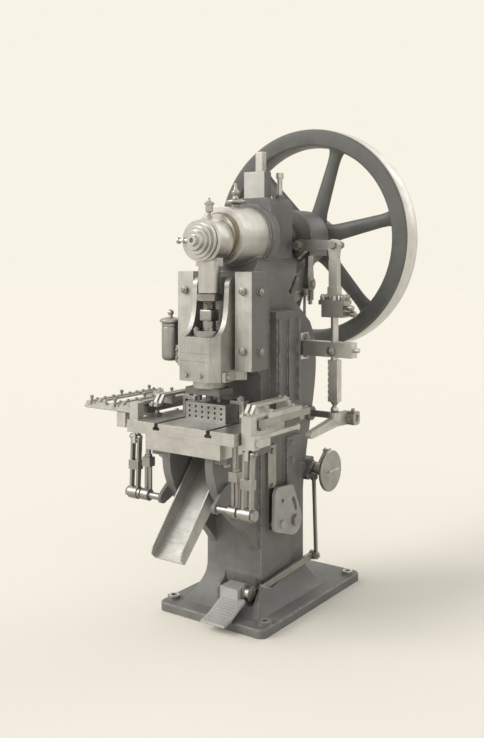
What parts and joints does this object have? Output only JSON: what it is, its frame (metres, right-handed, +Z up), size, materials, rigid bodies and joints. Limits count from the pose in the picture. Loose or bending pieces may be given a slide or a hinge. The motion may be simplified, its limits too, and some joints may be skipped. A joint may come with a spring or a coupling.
{
  "type": "mechanical stamping press",
  "caption": "Eccentric stamping press: cast C-frame, overhung crank and strap, guided ram, spoked flywheel, side feed drive, table rails, parts chute and treadle clutch.",
  "frame": {"origin": "centre of the four foundation bolts on the underside of the base", "axes": "+X to the machine's right as its user faces away from the front, +Y from the front to the flywheel at the back, +Z up"},
  "size_m": [1.035, 1.1483, 1.97],
  "materials": {
    "cast_iron": "satin paint",
    "steel": "satin",
    "bright": "polished",
    "bronze": "satin",
    "brass": "satin",
    "tool_steel": "ground",
    "sheet": "rolled"
  },
  "bodies": {
    "frame": {"frame_casting": "cast_iron", "bushes": "bronze", "left_gib": "bright", "right_gib": "bright", "frame_bolts": "steel", "table": "bright", "table_bolts": "steel", "die_block": "tool_steel", "die_clamps": "steel", "chute": "sheet", "lubricator_pot": "sheet", "lubricator_cap": "brass", "housing_oiler": "brass", "top_bar": "cast_iron", "pivot_studs": "steel", "rock_studs": "steel", "side_plate": "cast_iron", "guide_bracket": "steel", "lever_shaft": "steel", "lever_end_block": "steel", "left_rail": "bright", "right_rail": "bright", "left_tray": "steel", "spring_bracket": "steel", "hanging_rods": "steel"},
    "crank": {"crankshaft": "bright", "feed_cam": "tool_steel", "tail_collar": "steel"},
    "wheel": {"flywheel": "cast_iron"},
    "slide": {"ram": "steel", "ball_cap": "steel", "ball_cap_nuts": "steel", "punch_plate": "tool_steel", "punches": "tool_steel"},
    "pitman": {"strap": "bright", "strap_oiler": "brass", "crank_pin": "steel", "nose_rings": "bright", "ball_screw": "steel", "screw_nut": "steel"},
    "rod": {"feed_rod": "steel", "eye_pin": "steel", "rod_clamp": "steel", "rod_clamp_nuts": "steel"},
    "rocker": {"feed_rocker": "steel"},
    "lever": {"feed_lever": "steel"},
    "left_carriage": {"left_feed_slide": "steel"},
    "right_carriage": {"right_feed_slide": "steel"},
    "left_rocking": {"left_rock_lever": "steel"},
    "right_rocking": {"right_rock_lever": "steel"},
    "sector": {"quadrant": "cast_iron"},
    "pedal": {"treadle": "cast_iron", "treadle_shaft": "steel", "treadle_arm": "cast_iron"},
    "link": {"clutch_rod": "steel"},
    "clutch": {"clutch_disc": "steel", "clutch_crank": "steel", "pull_crank": "steel"},
    "pull": {"pull_rod": "steel"},
    "latch": {"clutch_latch": "steel"}
  },
  "joints": [
    {"name": "crank_spin", "type": "hinge", "parent": "frame", "child": "crank", "pos_m": [0, 0, 1.48], "axis": [0, 1, 0], "continuous": true},
    {"name": "flywheel_spin", "type": "hinge", "parent": "crank", "child": "wheel", "pos_m": [0, 0.41, 1.48], "axis": [0, 1, 0], "continuous": true},
    {"name": "ram_slide", "type": "slide", "parent": "frame", "child": "slide", "axis": [0, 0, 1], "range_m": [0, 0.04]},
    {"name": "pitman_swing", "type": "hinge", "parent": "slide", "child": "pitman", "pos_m": [0, -0.3745, 1.065], "axis": [0, 1, 0], "range_deg": [-2.9, 2.9]},
    {"name": "feed_rod_lift", "type": "slide", "parent": "frame", "child": "rod", "axis": [0, 0, 1], "range_m": [-0.008, 0.008]},
    {"name": "feed_rocker_turn", "type": "hinge", "parent": "frame", "child": "rocker", "pos_m": [0.128, 0.1, 1.446], "axis": [0, 1, 0], "range_deg": [-2.6, 2.6]},
    {"name": "feed_lever_turn", "type": "hinge", "parent": "frame", "child": "lever", "pos_m": [0.312, 0.14, 0.745], "axis": [1, 0, 0], "range_deg": [-4.7, 4.7]},
    {"name": "left_feed_travel", "type": "slide", "parent": "frame", "child": "left_carriage", "axis": [0, 1, 0], "range_m": [-0.025, 0.025]},
    {"name": "right_feed_travel", "type": "slide", "parent": "frame", "child": "right_carriage", "axis": [0, 1, 0], "range_m": [-0.025, 0.025]},
    {"name": "left_rock_turn", "type": "hinge", "parent": "frame", "child": "left_rocking", "pos_m": [-0.265, -0.5, 0.49], "axis": [1, 0, 0], "range_deg": [-7, 7]},
    {"name": "right_rock_turn", "type": "hinge", "parent": "frame", "child": "right_rocking", "pos_m": [0.265, -0.5, 0.49], "axis": [1, 0, 0], "range_deg": [-7, 7]},
    {"name": "sector_turn", "type": "hinge", "parent": "frame", "child": "sector", "pos_m": [0.157, -0.036, 0.344], "axis": [1, 0, 0], "range_deg": [-20, 12]},
    {"name": "treadle_press", "type": "hinge", "parent": "frame", "child": "pedal", "pos_m": [0.06, -0.262, 0.105], "axis": [1, 0, 0], "range_deg": [0, 3]},
    {"name": "clutch_link_turn", "type": "hinge", "parent": "pedal", "child": "link", "pos_m": [0.185, 0.11, 0.165], "axis": [1, 0, 0], "range_deg": [-3.1, 0.2]},
    {"name": "clutch_turn", "type": "hinge", "parent": "frame", "child": "clutch", "pos_m": [0.15, 0.15, 0.513], "axis": [1, 0, 0], "range_deg": [-18.6, 0.2]},
    {"name": "pull_link_turn", "type": "hinge", "parent": "clutch", "child": "pull", "pos_m": [0.06, 0.208, 0.533], "axis": [1, 0, 0], "range_deg": [-0.2, 19.4]},
    {"name": "latch_turn", "type": "hinge", "parent": "frame", "child": "latch", "pos_m": [0.046, 0.13, 1.215], "axis": [1, 0, 0], "range_deg": [-12, 0.2]}
  ],
  "couplings": [
    {"joint": "feed_rocker_turn", "follows": "feed_rod_lift", "rad_per_m": -5.4348},
    {"joint": "feed_lever_turn", "follows": "feed_rod_lift", "rad_per_m": -10},
    {"joint": "left_feed_travel", "follows": "feed_rod_lift", "ratio": 3},
    {"joint": "right_feed_travel", "follows": "feed_rod_lift", "ratio": 3},
    {"joint": "left_rock_turn", "follows": "feed_rod_lift", "rad_per_m": -14.151},
    {"joint": "right_rock_turn", "follows": "feed_rod_lift", "rad_per_m": -14.151},
    {"joint": "clutch_link_turn", "follows": "treadle_press", "ratio": -0.98},
    {"joint": "clutch_turn", "follows": "treadle_press", "ratio": -6.14},
    {"joint": "pull_link_turn", "follows": "treadle_press", "ratio": 6.14},
    {"joint": "latch_turn", "follows": "treadle_press", "ratio": -3.78}
  ]
}
